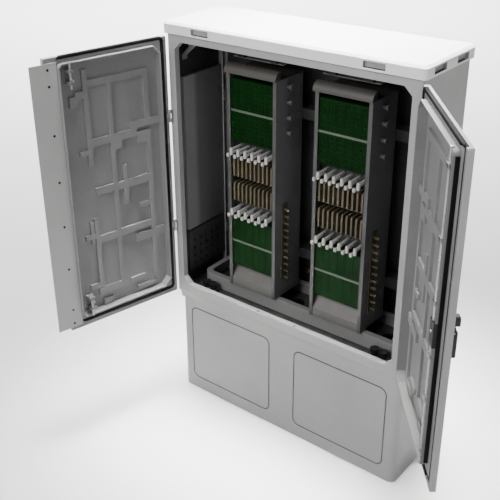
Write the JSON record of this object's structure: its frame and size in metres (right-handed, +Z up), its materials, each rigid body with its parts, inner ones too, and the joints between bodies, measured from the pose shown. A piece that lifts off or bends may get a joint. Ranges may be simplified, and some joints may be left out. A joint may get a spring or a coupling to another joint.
{
  "type": "roadside utility cabinet",
  "caption": "Free-standing outdoor cabinet on a hollow plinth, roof cap, two doors swung open on pins, and fibre racks with adapter fields and cassettes inside.",
  "frame": {"origin": "centre of the plinth's underside, on the ground", "axes": "+Z up the cabinet; the doors and racks face -Y; +X is to the right when facing the doors"},
  "size_m": [1.4579, 0.8405, 1.553],
  "materials": {
    "shell": "moulded, fine texture",
    "roof": "moulded, smooth",
    "seal": "soft, matt",
    "sheet": "powder coated",
    "dark_sheet": "powder coated, dark",
    "zinc": "zinc plated",
    "brass_bar": "plain",
    "green_part": "satin",
    "pale_green": "satin",
    "beige_part": "satin",
    "white_tip": "gloss",
    "black_part": "satin"
  },
  "bodies": {
    "cabinet": {"plinth": "shell", "front_frame": "shell", "left_side_wall": "shell", "right_side_wall": "shell", "rear_wall": "shell", "roof_cap": "roof", "roof_tray": "dark_sheet", "roof_bolts": "zinc", "floor_plate": "dark_sheet", "floor_grommets": "seal", "inner_rim": "sheet", "clamp_bases": "black_part", "clamp_knobs": "black_part", "side_liners": "sheet", "rear_liner": "dark_sheet", "vent_plates": "dark_sheet", "top_brackets": "sheet", "rack_rails": "sheet", "earth_bar": "brass_bar", "earth_studs": "zinc", "left_rack_frame": "sheet", "right_rack_frame": "sheet", "rack_hoods": "beige_part", "rack_feet": "sheet", "left_upper_adapters": "green_part", "right_upper_adapters": "green_part", "left_lower_adapters": "green_part", "right_lower_adapters": "green_part", "adapter_bars": "pale_green", "left_cable_hooks": "white_tip", "right_cable_hooks": "white_tip", "left_cassettes": "beige_part", "right_cassettes": "beige_part", "cassette_holders": "dark_sheet", "storage_spools": "beige_part", "side_combs": "beige_part", "guide_bars": "sheet", "guide_clips": "black_part", "frame_hinges": "zinc", "hinge_pins": "zinc"},
    "left_leaf": {"left_door": "shell", "left_hinges": "zinc", "left_gasket": "seal", "overlap_strip": "zinc", "strip_screws": "zinc", "bolt_guides": "zinc"},
    "top_shoot_bolt": {"top_bolt": "zinc"},
    "bottom_shoot_bolt": {"bottom_bolt": "zinc"},
    "right_leaf": {"right_door": "shell", "right_hinges": "zinc", "right_gasket": "seal", "lock_case": "black_part", "lock_plate": "black_part", "rod_guides": "zinc"},
    "lock_turner": {"lock_spindle": "zinc"},
    "handle": {"handle_lever": "black_part", "lever_pin": "zinc"},
    "key_barrel": {"lock_barrel": "zinc"},
    "upper_lock_rod": {"upper_rod": "zinc"},
    "lower_lock_rod": {"lower_rod": "zinc"}
  },
  "joints": [
    {"name": "left_door_swing", "type": "hinge", "parent": "cabinet", "child": "left_leaf", "pos_m": [-0.499, -0.1575, 0.98], "axis": [0, 0, -1], "range_deg": [-102.9, 29.1]},
    {"name": "top_bolt_slide", "type": "slide", "parent": "left_leaf", "child": "top_shoot_bolt", "axis": [0, 0, 1], "range_m": [0, 0.014]},
    {"name": "bottom_bolt_slide", "type": "slide", "parent": "left_leaf", "child": "bottom_shoot_bolt", "axis": [0, 0, -1], "range_m": [0, 0.014]},
    {"name": "right_door_swing", "type": "hinge", "parent": "cabinet", "child": "right_leaf", "pos_m": [0.499, -0.1575, 0.98], "axis": [0, 0, 1], "range_deg": [-128.6, 3.4]},
    {"name": "lock_turn", "type": "hinge", "parent": "right_leaf", "child": "lock_turner", "pos_m": [0.7814, -0.49123, 0.955], "axis": [0.7815, 0.6239, 0], "range_deg": [0, 90]},
    {"name": "handle_lift", "type": "hinge", "parent": "lock_turner", "child": "handle", "pos_m": [0.80141, -0.47525, 0.955], "axis": [0.6239, -0.7815, 0], "range_deg": [0, 35]},
    {"name": "key_turn", "type": "hinge", "parent": "handle", "child": "key_barrel", "pos_m": [0.80141, -0.47525, 0.911], "axis": [0.7815, 0.6239, 0], "range_deg": [0, 90]},
    {"name": "upper_rod_slide", "type": "slide", "parent": "right_leaf", "child": "upper_lock_rod", "axis": [0, 0, 1], "range_m": [0, 0.0142]},
    {"name": "lower_rod_slide", "type": "slide", "parent": "right_leaf", "child": "lower_lock_rod", "axis": [0, 0, -1], "range_m": [0, 0.0142]}
  ],
  "couplings": [
    {"joint": "upper_rod_slide", "follows": "lock_turn", "m_per_rad": 0.009},
    {"joint": "lower_rod_slide", "follows": "lock_turn", "m_per_rad": 0.009}
  ]
}
